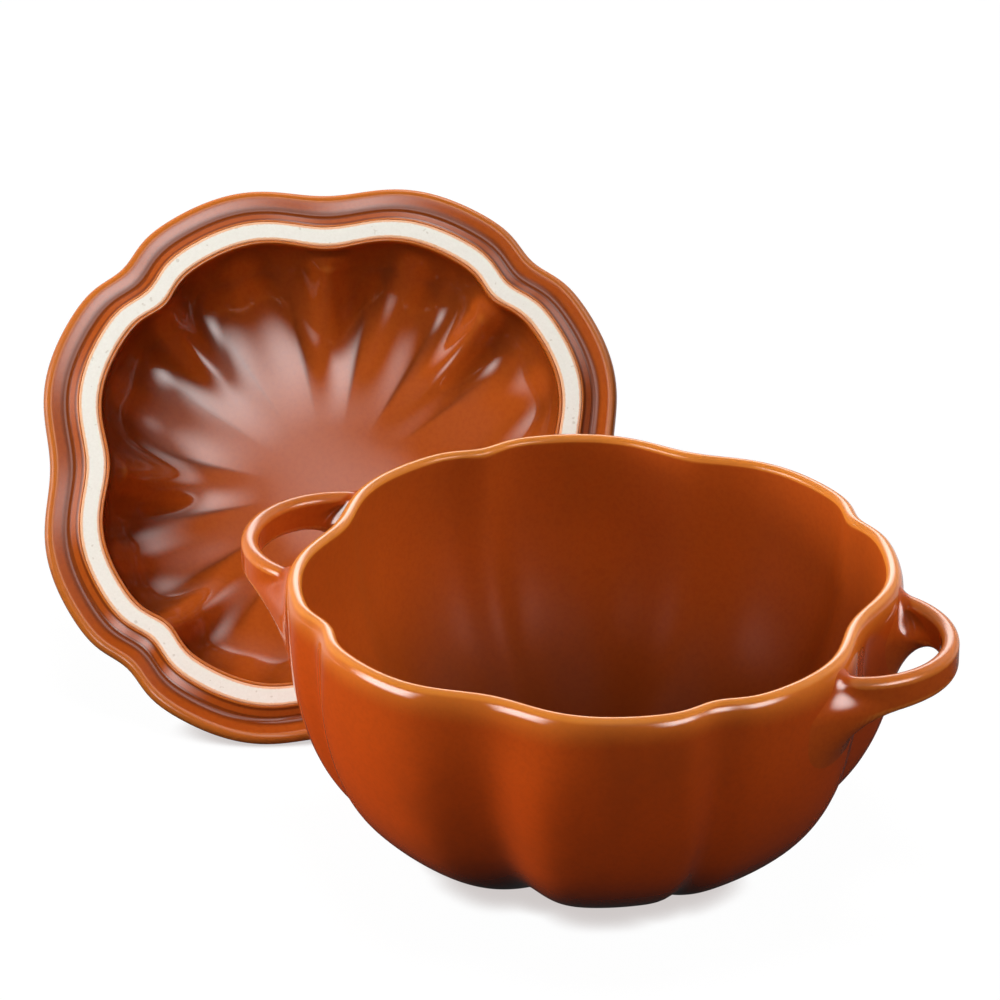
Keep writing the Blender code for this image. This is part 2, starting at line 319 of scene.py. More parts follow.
class Wire:
    """An output in a node tree. Arithmetic on wires adds Math nodes."""

    def __init__(self, graph, socket):
        self.graph = graph
        self.socket = socket

    def math(self, operation, *others):
        return self.graph.math(operation, self, *others)

    def __add__(self, other):
        return self.math("ADD", other)

    def __sub__(self, other):
        return self.math("SUBTRACT", other)

    def __rsub__(self, other):
        return self.graph.math("SUBTRACT", other, self)

    def __mul__(self, other):
        return self.math("MULTIPLY", other)

    def __truediv__(self, other):
        return self.math("DIVIDE", other)

    def __pow__(self, other):
        return self.math("POWER", other)

    __radd__ = __add__
    __rmul__ = __mul__


class Graph:
    """A node tree that is filled by one call for each node."""

    def __init__(self, tree):
        self.tree = tree

    def add(self, kind, settings=None, sockets=None, out=0):
        node = self.tree.nodes.new(kind)
        for name, value in (settings or {}).items():
            setattr(node, name, value)
        for key, value in (sockets or {}).items():
            self.plug(value, node.inputs[key])
        return Wire(self, node.outputs[out])

    def plug(self, value, socket):
        if isinstance(value, Wire):
            self.tree.links.new(value.socket, socket)
        else:
            socket.default_value = value

    def math(self, operation, *values):
        return self.add("ShaderNodeMath", {"operation": operation}, dict(enumerate(values)))

    def part(self, vector, axis):
        return self.add("ShaderNodeSeparateXYZ", None, {0: vector}, out=axis)

    def ramp(self, value, low, high):
        """0 below one value and 1 above the other, with a smooth passage."""
        sockets = {"Value": value, "From Min": low, "From Max": high}
        return self.add("ShaderNodeMapRange", {"interpolation_type": "SMOOTHSTEP"}, sockets)

    def blend(self, share, first, second):
        """Two colours mixed by a share."""
        return self.add("ShaderNodeMix", {"data_type": "RGBA"}, {0: share, 6: first, 7: second}, out=2)

    def noise(self, place, scale, detail=2.0, roughness=0.5):
        sockets = {"Vector": place, "Scale": scale, "Detail": detail, "Roughness": roughness}
        return self.add("ShaderNodeTexNoise", None, sockets)

    def attribute(self, name):
        return self.add("ShaderNodeAttribute", {"attribute_name": name}, out="Fac")

    def ray(self, kind):
        return self.add("ShaderNodeLightPath", out=kind)


def smooth(value):
    """0 up to 0 and 1 from 1 on, with a smooth passage. It takes numbers and arrays."""
    value = np.clip(value, 0.0, 1.0)
    return value * value * (3 - 2 * value)


# Profiles, as (radius, height) points.


def bezier(start, start_handle, end_handle, end, count):
    points = []
    for i in range(count):
        t = i / (count - 1)
        s = 1 - t
        weights = (s**3, 3 * s * s * t, 3 * s * t * t, t**3)
        corners = (start, start_handle, end_handle, end)
        points.append(sum((Vector(c) * w for c, w in zip(corners, weights)), Vector((0, 0))))
    return points


def arc(centre, radius, first, last, count):
    """Points on a circle between two angles in degrees, ends included."""
    angles = (math.radians(first + (last - first) * i / (count - 1)) for i in range(count))
    return [Vector((centre[0] + radius * math.cos(a), centre[1] + radius * math.sin(a))) for a in angles]


def straight(start, end, count):
    """Points between two ends, without the ends."""
    return [Vector(start).lerp(Vector(end), i / (count + 1)) for i in range(1, count + 1)]


def headings(points):
    """The way that an open line runs at each of its points."""
    last = len(points) - 1
    return [(points[min(i + 1, last)] - points[max(i - 1, 0)]).normalized() for i in range(last + 1)]


def left_of(heading):
    return Vector((-heading.y, heading.x))


def offset(points, first, last):
    """An open line moved to its left, by a distance that passes from one value to another."""
    moved = []
    end = len(points) - 1
    for i, (point, heading) in enumerate(zip(points, headings(points))):
        distance = first + (last - first) * i / end
        moved.append(point + distance * left_of(heading))
    return moved


def pot_wall(count):
    """The crest line of the outer wall, from the foot's edge up to the lip."""
    foot = Vector((FOOT_RADIUS, 0))
    sweep = FOOT_SWEEP * Vector((math.cos(FOOT_SLOPE), math.sin(FOOT_SLOPE)))
    lip = Vector((RIM_RADIUS, POT_HEIGHT - WALL / 2))
    return bezier(foot, foot + sweep, lip + Vector((BELLY, -WALL_SWEEP)), lip, count)


def lip_roll(count):
    """The lip's outer side, from its top down to where the wall takes over."""
    start = Vector((RIM_RADIUS - WALL + LIP_INNER_EDGE, POT_HEIGHT))
    wall = pot_wall(CLOSE_WALL_POINTS)
    level = POT_HEIGHT - LIP_ROLL
    end = Vector((float(np.interp(level, [p.y for p in wall], [p.x for p in wall])), level))
    return bezier(start, start + Vector((LIP_TOP_SWEEP, 0)), end + Vector((0, LIP_SIDE_SWEEP)), end, count)


def pot_profile():
    """From the middle of the inner floor up and over the lip, then down to the middle of the foot."""
    outer = pot_wall(WALL_POINTS)
    inner = offset(outer, FLOOR, WALL)
    edge = LIP_INNER_EDGE
    lip = arc((RIM_RADIUS - WALL + edge, POT_HEIGHT - edge), edge, 180, 90, EDGE_POINTS)
    lip += lip_roll(LIP_POINTS)[1:]
    floor = inner[0].y
    ease = Vector((inner[0].x - INNER_FLOOR_EASE, floor))
    middle = Vector((0, floor))
    line = [middle] + straight(middle, ease, 5) + [ease] + straight(ease, inner[0], 3)
    line += inner + lip + [p for p in outer[::-1] if p.y < lip[-1].y - LIP_JOIN]
    return line + straight(outer[0], (0, 0), 6) + [Vector((0, 0))]


def ring_outside():
    return RIM_RADIUS - WALL - RING_CLEARANCE


def ring_inside():
    return ring_outside() - RING_WIDTH


def lid_profile():
    """From the crown down the dome, round the bead, over the ring's channel and up into the hollow."""
    bead = Vector((RIM_RADIUS + LID_OVERHANG - BEAD_RADIUS, BEAD_RISE))
    edge = bead + Vector((0, BEAD_RADIUS))
    crown = Vector((STEM_BASE_RADIUS, DOME_HEIGHT))
    dome = bezier(
        crown,
        crown + Vector((DOME_TOP_SWEEP, DOME_CROWN)),
        edge + DOME_EDGE_SWEEP * Vector((-math.cos(DOME_EDGE_SLOPE), math.sin(DOME_EDGE_SLOPE))),
        edge,
        DOME_POINTS,
    )
    rim = arc(bead, BEAD_RADIUS, 90, -90, BEAD_POINTS)[1:]
    outside = ring_outside()
    inside = ring_inside()
    wall_foot = Vector((outside + RING_DRAFT, rim[-1].y + COVE_DEPTH / 2))
    cove = bezier(
        rim[-1],
        rim[-1] + Vector((-COVE_OUTER_SWEEP, 0)),
        wall_foot + Vector((COVE_INNER_SWEEP, COVE_DEPTH)),
        wall_foot,
        COVE_POINTS,
    )[1:]
    face = -RING_PROUD
    outer_edge = bezier(
        Vector((outside + RING_DRAFT * DRAFT_LEFT, face + RING_PROUD * DRAFT_LEFT)),
        Vector((outside + RING_EDGE / 2, face)),
        Vector((outside, face)),
        Vector((outside, face + RING_EDGE)),
        CHANNEL_EDGE_POINTS,
    )
    bed = RING_BED
    channel = straight(outer_edge[-1], (outside, bed), 1) + [Vector((outside, bed)), Vector((inside, bed))]
    inner_edge = arc((inside - RING_EDGE, face + RING_EDGE), RING_EDGE, 0, -180, EDGE_POINTS)
    hollow_edge = Vector((inside - 2 * RING_EDGE, 0))
    hollow = bezier(
        hollow_edge,
        hollow_edge + Vector((0, HOLLOW_WALL_SWEEP)),
        Vector((HOLLOW_TOP_SWEEP, DOME_HEIGHT - DOME_WALL)),
        Vector((0, DOME_HEIGHT - DOME_WALL)),
        HOLLOW_POINTS,
    )
    top = Vector((0, DOME_HEIGHT))
    line = [top] + straight(top, crown, 4) + dome + rim + cove + straight(cove[-1], outer_edge[0], 4)
    line += outer_edge + channel + inner_edge + straight(inner_edge[-1], hollow_edge, 2)
    return line, hollow


def ring_profile():
    """The ring's section, closed, with softened edges on its face."""
    outside = ring_outside()
    inside = ring_inside()
    face = -RING_PROUD - RING_PAST_GLAZE
    bed = RING_BED
    outer = arc((outside - RING_EDGE, face + RING_EDGE), RING_EDGE, 0, -90, RING_EDGE_POINTS)
    inner = arc((inside + RING_EDGE, face + RING_EDGE), RING_EDGE, -90, -180, RING_EDGE_POINTS)
    line = [Vector((inside, bed)), Vector((outside, bed))] + straight((outside, bed), outer[0], 2)
    line += outer + straight(outer[-1], inner[0], 8) + inner + straight(inner[-1], (inside, bed), 2)
    return line + line[:1]


def stem_profile():
    """From the middle of the stem's tip down its waisted side to the skirt under the crown."""
    base = DOME_HEIGHT
    top = DOME_HEIGHT + STEM_HEIGHT
    edge = Vector((STEM_TIP_RADIUS - STEM_EDGE, top - STEM_EDGE))
    tip = arc(edge, STEM_EDGE, 90, 0, EDGE_POINTS)
    side = bezier(
        tip[-1],
        Vector((STEM_WAIST_RADIUS, top - STEM_HEIGHT / 2)),
        Vector((STEM_WAIST_RADIUS, base + STEM_HEIGHT / 5)),
        Vector((STEM_BASE_RADIUS, base)),
        STEM_POINTS,
    )
    skirt = Vector((STEM_BASE_RADIUS + STEM_SKIRT, base - STEM_SKIRT))
    middle = Vector((0, top))
    line = [middle] + straight(middle, tip[0], 4) + tip + side[1:] + straight(side[-1], skirt, 3)
    return line + [skirt, Vector((0, skirt.y))]


# What the lobes do to each point of a profile. A press is the way that a valley of unit depth moves it,
# outwards and along the axis, and how much narrower the valley is there. A rib is the way that the hollow's
# ribs move it, with their half width as an angle.


def pot_press(profile):
    """The valleys are narrower on the outside, below the lip, than they are inside."""
    press = []
    top = max(range(len(profile)), key=lambda i: profile[i].y)
    for i, p in enumerate(profile):
        gain = 1 + FOOT_GAIN * (1 - p.y / POT_HEIGHT)
        narrow = NARROWING * smooth((POT_HEIGHT - p.y) / NARROW_OVER) if i > top else 0
        press.append((-gain * smooth(p.x / FOOT_RADIUS), 0, narrow))
    return press


def lid_press(profile):
    press = []
    for p in profile:
        outward = min(p.x / ring_inside(), 1)
        press.append((-smooth(outward), -RIB_DROP * math.sin(math.pi * outward), 0))
    return press


def hollow_press(profile):
    """In the hollow, valleys and ribs stand square to the surface and fade towards the middle."""
    press, ribs = [], []
    for p, heading in zip(profile, headings(profile)):
        square = left_of(heading)
        outward = min(p.x / ring_inside(), 1)
        press.append((*(square * smooth(2 * outward - 1)), 0))
        height = RIB_HEIGHT * smooth(p.y / RIB_RISE) * smooth((outward - RIB_END) / (RIB_FULL - RIB_END))
        ribs.append((*(square * height), RIB_WIDTH / max(p.x, RIB_WIDTH)))
    return press, ribs


def stem_press(profile):
    return [(-smooth(p.x / STEM_WAIST_RADIUS), 0, 0) for p in profile]


# The rule that turns a profile into a lobed body.

TURNING_INPUTS = {
    "Profile": "Geometry",
    "Around": "Int",
    "Pitch": "Float",
    "Deep valley": "Float",
    "Deep width": "Float",
    "Shallow valley": "Float",
    "Shallow width": "Float",
    "Finish": "Material",
}
LOBES = {
    "Pitch": QUARTER,
    "Deep valley": DEEP_VALLEY,
    "Deep width": DEEP_WIDTH,
    "Shallow valley": SHALLOW_VALLEY,
    "Shallow width": SHALLOW_WIDTH,
}
STEM_LOBES = {
    "Pitch": TURN / STEM_RIBS,
    "Deep valley": STEM_RIB_DEPTH,
    "Deep width": STEM_RIB_WIDTH,
    "Shallow valley": 0.0,
    "Shallow width": 1.0,
}


def valley(turned, width, step):
    """1 at every step of the turn, falling off to its sides."""
    away = (turned + step / 2).math("FLOORED_MODULO", step) - step / 2
    return ((away / width) ** 2 * -1).math("EXPONENT")


def lobed_turning():
    """A node tree that turns the points of a profile about Z, with valleys pressed into the turned body."""
    tree = bpy.data.node_groups.new("lobed_turning", "GeometryNodeTree")
    for label, kind in TURNING_INPUTS.items():
        tree.interface.new_socket(label, in_out="INPUT", socket_type="NodeSocket" + kind)
    tree.interface.new_socket("Body", in_out="OUTPUT", socket_type="NodeSocketGeometry")
    graph = Graph(tree)
    given = tree.nodes.new("NodeGroupInput")
    size = {socket.name: Wire(graph, socket) for socket in given.outputs if socket.name}
    profile = size["Profile"]
    rows = graph.add("GeometryNodeAttributeDomainSize", {"component": "MESH"}, {0: profile})
    sheet = graph.add(
        "GeometryNodeMeshGrid", None, {"Vertices X": size["Around"] + 1, "Vertices Y": rows}
    )
    index = graph.add("GeometryNodeInputIndex")
    column = ((index + 0.5) / rows).math("FLOOR")
    row = index - column * rows + 0.5

    def along_profile(field):
        return graph.add(
            "GeometryNodeSampleIndex",
            {"data_type": "FLOAT_VECTOR", "domain": "POINT"},
            {"Geometry": profile, "Value": field, "Index": row},
        )

    def stored(name):
        settings = {"data_type": "FLOAT_VECTOR"}
        return along_profile(graph.add("GeometryNodeInputNamedAttribute", settings, {"Name": name}))

    point = along_profile(graph.add("GeometryNodeInputPosition"))
    press = stored("press")
    ribs = stored("ribs")
    angle = column * TURN / size["Around"]
    pitch = size["Pitch"]
    tight = 1 - graph.part(press, "Z")
    flute = size["Deep valley"] * valley(angle, size["Deep width"] * tight, pitch)
    flute = flute + size["Shallow valley"] * valley(angle + pitch / 2, size["Shallow width"] * tight, pitch)
    lower = (1 - MINOR_RIB) / 2
    rib = valley(angle, graph.part(ribs, "Z"), pitch / RIBS_PER_QUARTER)
    rib = rib * (1 - lower + lower * (angle * TURN / pitch * (RIBS_PER_QUARTER / 2)).math("COSINE"))
    rib = rib * (1 + UNEVEN_RIBS * (angle * UNEVEN_WAVES + UNEVEN_START).math("COSINE"))
    out = graph.part(point, "X") + flute * graph.part(press, "X") + rib * graph.part(ribs, "X")
    height = graph.part(point, "Z") + flute * graph.part(press, "Y") + rib * graph.part(ribs, "Y")
    place = graph.add(
        "ShaderNodeCombineXYZ",
        None,
        {"X": out * angle.math("COSINE"), "Y": out * angle.math("SINE"), "Z": height},
    )
    body = graph.add("GeometryNodeSetPosition", None, {"Geometry": sheet, "Position": place})
    body = graph.add("GeometryNodeMergeByDistance", None, {"Geometry": body, "Distance": WELD})
    body = graph.add("GeometryNodeSetShadeSmooth", None, {"Geometry": body})
    body = graph.add("GeometryNodeRealizeInstances", None, {"Geometry": body})
    body = graph.add("GeometryNodeSetMaterial", None, {"Geometry": body, "Material": size["Finish"]})
    graph.plug(body, tree.nodes.new("NodeGroupOutput").inputs["Body"])
    return tree


def turned(tree, name, profile, press, finish, sizes, around=AROUND, ribs=()):
    """A plain mesh from a profile and the lobed turning. The ribs are those of the profile's last points."""
    line = bpy.data.meshes.new(name)
    line.from_pydata([(p[0], 0, p[1]) for p in profile], [], [])
    ribs = [NO_RIB] * (len(profile) - len(ribs)) + list(ribs)
    for label, vectors in (("press", press), ("ribs", ribs)):
        numbers = [number for vector in vectors for number in vector]
        line.attributes.new(label, "FLOAT_VECTOR", "POINT").data.foreach_set("vector", numbers)
    holder = bpy.data.objects.new(name + "_line", line)
    bpy.context.scene.collection.objects.link(holder)
    turning = holder.modifiers.new("turning", "NODES")
    turning.node_group = tree
    values = {"Around": around, "Finish": finish, **sizes}
    for item in tree.interface.items_tree:
        if item.in_out == "INPUT" and item.name in values:
            turning[item.identifier] = values[item.name]
    graph = bpy.context.evaluated_depsgraph_get()
    mesh = bpy.data.meshes.new_from_object(holder.evaluated_get(graph))
    mesh.name = name
    bpy.data.objects.remove(holder)
    bpy.data.meshes.remove(line)
    return mesh


# Loop handles: the skin of a field that blends the strap's distance into the wall's.

WALL_LINE = [p for p in pot_wall(CLOSE_WALL_POINTS) if p.y < POT_HEIGHT - LIP_ROLL]
WALL_LINE += lip_roll(CLOSE_LIP_POINTS)[::-1]
WALL_HEIGHTS = np.array([p.y for p in WALL_LINE])
WALL_RADII = np.array([p.x for p in WALL_LINE])
WALL_SLOPES = np.gradient(WALL_RADII, WALL_HEIGHTS)


def off_wall(x, y, z):
    """How far points lie outside the pot's wall, lip included."""
    flute = 0
    angle = np.arctan2(y, x)
    tight = 1 - NARROWING * smooth((POT_HEIGHT - z) / NARROW_OVER)
    deep = (DEEP_VALLEY, DEEP_WIDTH, 0)
    shallow = (SHALLOW_VALLEY, SHALLOW_WIDTH, QUARTER / 2)
    for depth, width, start in (deep, shallow):
        away = (angle + start + QUARTER / 2) % QUARTER - QUARTER / 2
        flute = flute + depth * np.exp(-((away / (width * tight)) ** 2))
    radius = np.interp(z, WALL_HEIGHTS, WALL_RADII) - flute * (1 + FOOT_GAIN * (1 - z / POT_HEIGHT))
    return (np.hypot(x, y) - radius) / np.hypot(1, np.interp(z, WALL_HEIGHTS, WALL_SLOPES))


def off_strap(x, y, z):
    """How far points lie outside the bent strap, whose underside runs down towards its roots."""
    reach = HANDLE_REACH + HANDLE_ROOT_DEPTH - STRAP_THICKNESS / 2
    bend = np.linspace(-math.pi / 2, math.pi / 2, STRAP_POINTS)
    line_x = RIM_RADIUS - HANDLE_ROOT_DEPTH + reach * np.cos(bend)
    line_y = HANDLE_HALF_SPREAD * np.sin(bend)
    apart = np.hypot(x[..., None] - line_x, y[..., None] - line_y)
    inward = 1 - np.cos(bend)[apart.argmin(-1)]
    half = STRAP_HEIGHT / 2
    up = z - (POT_HEIGHT - HANDLE_DROP)
    core = half - STRAP_THICKNESS / 2
    beyond = np.maximum(up - core, 0) + np.maximum(-up - core - half * GUSSET * inward**2, 0)
    return np.hypot(apart.min(-1), beyond) - STRAP_THICKNESS / 2


def handle_field(x, y, z):
    """Below 0 in the handle, and how far each point is from the strap's hold."""
    strap = off_strap(x, y, z)
    wall = off_wall(x, y, z) + BURIED
    below = smooth((POT_HEIGHT - HANDLE_DROP + STRAP_HEIGHT / 2 - z) / STRAP_HEIGHT)
    blend = BLEND_ABOVE + (BLEND_BELOW - BLEND_ABOVE) * below
    share = np.maximum(blend - np.abs(strap - wall), 0) / blend
    return np.minimum(strap, wall) - share**2 * blend / 4, strap - wall - blend


def brought_home(points, rounds=3):
    """Points brought onto the handle's skin along the field's slope."""
    for _ in range(rounds):
        here = handle_field(*points.T)[0]
        slope = np.empty_like(points)
        for axis in range(3):
            shift = SLOPE_STEP * np.eye(3)[axis]
            slope[:, axis] = handle_field(*(points + shift).T)[0] - handle_field(*(points - shift).T)[0]
        slope /= 2 * SLOPE_STEP
        points = points - slope * (here / (slope**2).sum(1))[:, None]
    return points


def handle_skin():
    """Points and quads of the skin: a point in each crossed cell and a quad round each crossed edge."""
    low = np.array((RIM_RADIUS - ROOM_INWARDS, -ROOM_SIDEWAYS, POT_HEIGHT - ROOM_DOWN))
    high = np.array((RIM_RADIUS + HANDLE_REACH + ROOM_OUTWARDS, ROOM_SIDEWAYS, POT_HEIGHT - BURIED))
    x, y, z = (np.arange(a, b, SKIN_STEP) for a, b in zip(low, high))
    inside = handle_field(x[:, None, None], y[None, :, None], z[None, None, :])[0] < 0
    held = sum(
        inside[i : i - 1 or None, j : j - 1 or None, k : k - 1 or None].astype(int)
        for i in (0, 1) for j in (0, 1) for k in (0, 1)
    )
    crossed = (held > 0) & (held < 8)
    number = np.cumsum(crossed).reshape(crossed.shape) - 1
    points = low + SKIN_STEP * (np.argwhere(crossed) + 0.5)
    quads = []
    for axis in range(3):
        ends = np.moveaxis(inside, axis, 0)
        cells = np.moveaxis(number, axis, 0)
        i, j, k = np.nonzero((ends[:-1] != ends[1:])[:, 1:-1, 1:-1])
        around = [cells[i, j, k], cells[i, j + 1, k], cells[i, j + 1, k + 1], cells[i, j, k + 1]]
        around = np.stack(around, 1)
        turned_over = ends[i, j + 1, k + 1] == (axis == 1)
        around[turned_over] = around[turned_over, ::-1]
        quads.append(around)
    return points, np.concatenate(quads)


def relaxed(points, quads, rounds=4):
    """Points evened out over the skin."""
    pairs = np.concatenate([quads[:, [k, k - 1]] for k in range(4)])
    pairs = np.concatenate([pairs, pairs[:, ::-1]])
    near = np.maximum(np.bincount(pairs[:, 0], minlength=len(points)), 1)[:, None]
    points = brought_home(points)
    for _ in range(rounds):
        around = [np.bincount(pairs[:, 0], points[pairs[:, 1], k], len(points)) for k in range(3)]
        points = brought_home((points + np.stack(around, 1) / near) / 2, 1)
    return brought_home(points, 2)


def handle_shape():
    """The right handle's points and quads, as far as the wall, and how clear of it each point stands."""
    points, quads = handle_skin()
    points = relaxed(points, quads)
    held = handle_field(*points.T)[1] < 0
    quads = quads[held[quads].any(1)]
    kept = np.unique(quads)
    points, quads = points[kept], np.searchsorted(kept, quads)
    return points, quads, smooth(off_wall(*points.T) / FREE_OF_WALL)


def loop_handle(name, shape, side, finish):
    points, quads, clear = shape
    mesh = bpy.data.meshes.new(name)
    mesh.from_pydata((points * (side, side, 1)).tolist(), [], quads.tolist())
    mesh.shade_smooth()
    mesh.materials.append(finish)
    # The strap's own edges count only where it stands clear of the wall.
    store(mesh, "clear", clear)
    return mesh


# Finishing: normals outwards, and how sharply the surface bends, which the glaze follows.


def face_outwards(mesh):
    shape = bmesh.new()
    shape.from_mesh(mesh)
    bmesh.ops.recalc_face_normals(shape, faces=shape.faces)
    shape.to_mesh(mesh)
    shape.free()


def vectors_of(data, label):
    """A mesh's vectors, one row each."""
    numbers = np.empty(len(data) * 3)
    data.foreach_get(label, numbers)
    return numbers.reshape(-1, 3)


def store(mesh, label, values):
    mesh.attributes.new(label, "FLOAT", "POINT").data.foreach_set("value", values.astype(np.float32))


def store_relief(mesh, passes=3):
    """Keeps the mean bend of the surface at each point, per metre: over 0 on edges, under 0 in creases."""
    count = len(mesh.vertices)
    place = vectors_of(mesh.vertices, "co")
    normal = vectors_of(mesh.vertex_normals, "vector")
    ends = np.empty(len(mesh.edges) * 2, int)
    mesh.edges.foreach_get("vertices", ends)
    first, second = ends.reshape(-1, 2).T
    between = place[first] - place[second]
    length = (between**2).sum(1)
    bend = np.bincount(first, 2 * (normal[first] * between).sum(1) / length, count)
    bend -= np.bincount(second, 2 * (normal[second] * between).sum(1) / length, count)
    near = np.maximum(np.bincount(first, minlength=count) + np.bincount(second, minlength=count), 1)
    bend /= near
    for _ in range(passes):
        around = np.bincount(first, bend[second], count) + np.bincount(second, bend[first], count)
        bend = (bend + around / near) / 2
    if "clear" in mesh.attributes:
        clear = np.empty(count)
        mesh.attributes["clear"].data.foreach_get("value", clear)
        bend *= clear
    store(mesh, "relief", bend)


def store_inside(mesh):
    """Keeps which points of the bowl are inside it, from the lip's inner edge down."""
    x, y, z = vectors_of(mesh.vertices, "co").T
    store(mesh, "inside", smooth((-off_wall(x, y, z) - WALL / 4) / (WALL / 2)) * (z > FLOOR / 2))


def piece(name, mesh, body, *nodes):
    store_relief(mesh)
    obj = bpy.data.objects.new(name, mesh)
    bpy.context.scene.collection.objects.link(obj)
    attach(obj, body)
    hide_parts(*nodes)
    return obj


# Finishes.


def new_finish(name):
    material = bpy.data.materials.new(name)
    material.use_nodes = True
    graph = Graph(material.node_tree)
    return material, graph, material.node_tree.nodes["Principled BSDF"]


def clay_colour(graph, place):
    """Bare fired clay: a cream ground with fine grain and a few darker specks."""
    grain = graph.noise(place, *GRAIN)
    specks = graph.ramp(graph.noise(place, *SPECKS), *SPECKLED)
    tone = graph.blend(grain * GRAIN_SHARE, CREAM_CLAY, CLAY_SPECK)
    return graph.blend(specks * SPECK_SHARE, tone, CLAY_SPECK), grain


def wavers(noise, reach):
    """A noise about 0, with this much from its lowest to its highest."""
    return (noise - 0.5) * reach


class Glaze:
    """Glossy cinnamon glaze: amber where it runs thin over edges, umber in creases, partly pooled glaze and
    partly painted shade.
    """

    def __init__(self, name):
        self.material, self.graph, self.shader = new_finish(name)
        self.place = self.graph.add("ShaderNodeTexCoord", out="Object")
        self.relief = self.graph.attribute("relief")
        self.clouds = self.graph.noise(self.place, *CLOUDS)
        self.fine = self.graph.noise(self.place, *FINE_FLOW)
        edges = self.relief + wavers(self.clouds, THIN_CLOUDS) + wavers(self.fine, THIN_WAVERS)
        self.thin = self.graph.ramp(edges, *THIN_BEND)

    def ground(self, tan, pool_shade_bend):
        """Russet to cinnamon in clouds and runs, tanned by a share, mottled, and darker in creases, partly
        pooled glaze and partly painted shade.
        """
        graph = self.graph
        stretched = graph.add("ShaderNodeMapping", None, {"Vector": self.place, "Scale": RUN_STRETCH})
        runs = graph.noise(stretched, *RUNS)
        depth = self.clouds * CLOUD_SHARE + runs * RUN_SHARE + self.fine * FINE_SHARE
        colour = graph.blend(graph.ramp(depth, *RUSSET_TO_CINNAMON), RUSSET, CINNAMON)
        colour = graph.blend(tan, colour, TAN)
        mottle = graph.ramp(graph.noise(self.place, *MOTTLE), *MOTTLED)
        colour = graph.blend(mottle * MOTTLE_SHARE, colour, RUSSET)
        # Pooled glaze with painted shade: umber where the surface bends inwards, in valleys, creases and the
        # lid's hollow.
        pool_shade = graph.ramp(self.relief * -1 + wavers(self.fine, POOL_SHADE_WAVERS), *pool_shade_bend)
        return graph.blend(pool_shade * POOL_SHADE_SHARE, colour, UMBER)

    def gloss(self, satin):
        return satin + self.fine * UNEVEN_SATIN + self.thin * THIN_SATIN

    def lay(self, colour, gloss):
        """Puts the glaze on, over a faint ripple, and gives the ripple."""
        ripple = self.graph.noise(self.place, *RIPPLES) + self.fine * RIPPLE_FLOW
        relief = {"Strength": RIPPLE_STRENGTH, "Distance": RIPPLE_HEIGHT, "Height": ripple}
        bump = self.graph.add("ShaderNodeBump", None, relief)
        self.graph.plug(colour, self.shader.inputs["Base Color"])
        self.graph.plug(gloss, self.shader.inputs["Roughness"])
        self.graph.plug(bump, self.shader.inputs["Normal"])
        self.shader.inputs["IOR"].default_value = GLAZE_IOR
        return bump


def glaze_finish(name, tan, amber, pool_shade_bend, satin):
    glaze = Glaze(name)
    colour = glaze.graph.blend(glaze.thin * amber, glaze.ground(tan, pool_shade_bend), AMBER)
    glaze.lay(colour, glaze.gloss(satin))
    return glaze.material


def pot_finish(name, tan, amber, pool_shade_bend, satin):
    """The pot's glaze, which fired a little yellower and duller inside, and stops short of the foot, with
    painted shade towards the inner floor and the foot.
    """
    glaze = Glaze(name)
    graph = glaze.graph
    inside = graph.attribute("inside")
    outside = 1 - inside
    height = graph.part(glaze.place, "Z")
    under_lip = graph.ramp(height + wavers(glaze.clouds, TAN_WAVERS), TAN_FROM, POT_HEIGHT) * TAN_SHARE
    colour = glaze.ground(inside.math("MAXIMUM", under_lip) * tan, pool_shade_bend)
    # Painted shade: inside, the colour darkens to umber towards the inner floor.
    painted_inside_shade = inside * (1 - graph.ramp(height, *PAINTED_INSIDE_SHADE)) * PAINTED_INSIDE_SHADE_SHARE
    colour = graph.blend(painted_inside_shade, colour, UMBER)
    on_lip = graph.ramp(height + wavers(glaze.clouds, LIP_WAVERS), POT_HEIGHT - LIP_BAND, POT_HEIGHT)
    paled = (glaze.thin * amber).math("MAXIMUM", on_lip * LIP_BAND_SHARE * outside)
    colour = graph.blend(paled, colour, AMBER)
    # Painted shade: the outside darkens to umber towards the foot, where the wall turns down, away from the
    # light.
    painted_foot_shade = 1 - graph.ramp(height + wavers(glaze.fine, PAINTED_FOOT_SHADE_WAVERS), *PAINTED_FOOT_SHADE)
    colour = graph.blend(painted_foot_shade * outside * PAINTED_FOOT_SHADE_SHARE, colour, UMBER)
    clay, _ = clay_colour(graph, glaze.place)
    glazed = graph.ramp(height + wavers(glaze.fine, BARE_WAVERS), *BARE_BELOW)
    colour = graph.blend(glazed, clay, colour)
    bump = glaze.lay(colour, glaze.gloss(satin) * glazed + (1 - glazed) * BARE_ROUGHNESS)
    matt = {"Roughness": DULL_ROUGHNESS, "Specular IOR Level": DULL_SPECULAR}
    dull = graph.add("ShaderNodeBsdfPrincipled", None, {"Base Color": colour, "Normal": bump, **matt})
    shiny = Wire(graph, glaze.shader.outputs[0])
    both = graph.add("ShaderNodeMixShader", None, {0: inside, 1: shiny, 2: dull})
    graph.plug(both, graph.tree.nodes["Material Output"].inputs["Surface"])
    return glaze.material


